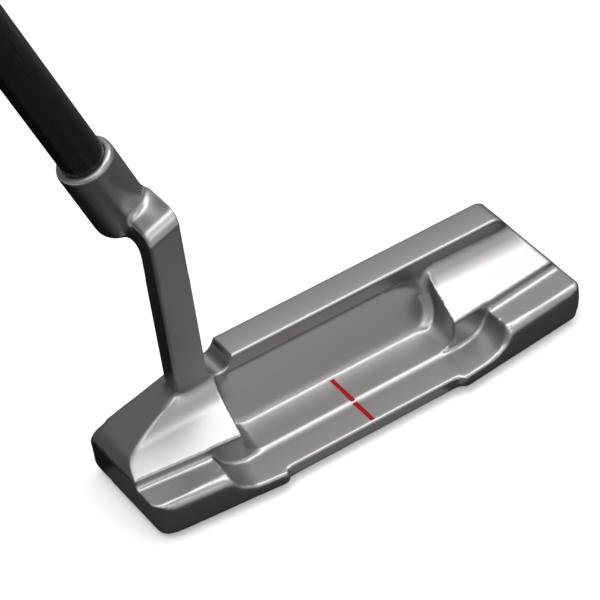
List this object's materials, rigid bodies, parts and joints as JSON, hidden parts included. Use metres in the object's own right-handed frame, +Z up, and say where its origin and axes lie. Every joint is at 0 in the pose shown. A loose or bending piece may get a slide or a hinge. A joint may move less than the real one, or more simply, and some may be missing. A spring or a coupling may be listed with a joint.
{
  "type": "blade putter",
  "caption": "Right-handed blade putter: milled steel head with a stepped cavity and a plumber's neck, on a black stepped shaft with a flat-fronted rubber grip.",
  "frame": {"origin": "on the flat of the sole under the sight line, 12 mm behind the leading edge of the face", "axes": "+X heel to toe, +Y towards the target, +Z up; the club stands as at address, its shaft leaning 20 degrees towards -X"},
  "size_m": [0.3814, 0.0509, 0.8155],
  "materials": {
    "satin_steel": "bead-blasted satin stainless steel",
    "red_paint": "enamel paint fill, level with the steel",
    "black_shaft": "gloss black on steel tube",
    "epoxy": "cured shafting epoxy",
    "cork": "plain cork",
    "tape": "double-sided crepe tape",
    "grip_rubber": "matt moulded rubber with a fine pattern",
    "cap_rubber": "smooth moulded hard rubber"
  },
  "bodies": {
    "root": {"head": "satin_steel", "cavity_line": "red_paint", "flange_line": "red_paint", "shaft": "black_shaft", "hosel_glue": "epoxy", "tip_cork": "cork", "grip_tape": "tape", "grip": "grip_rubber", "grip_cap": "cap_rubber"}
  },
  "joints": []
}
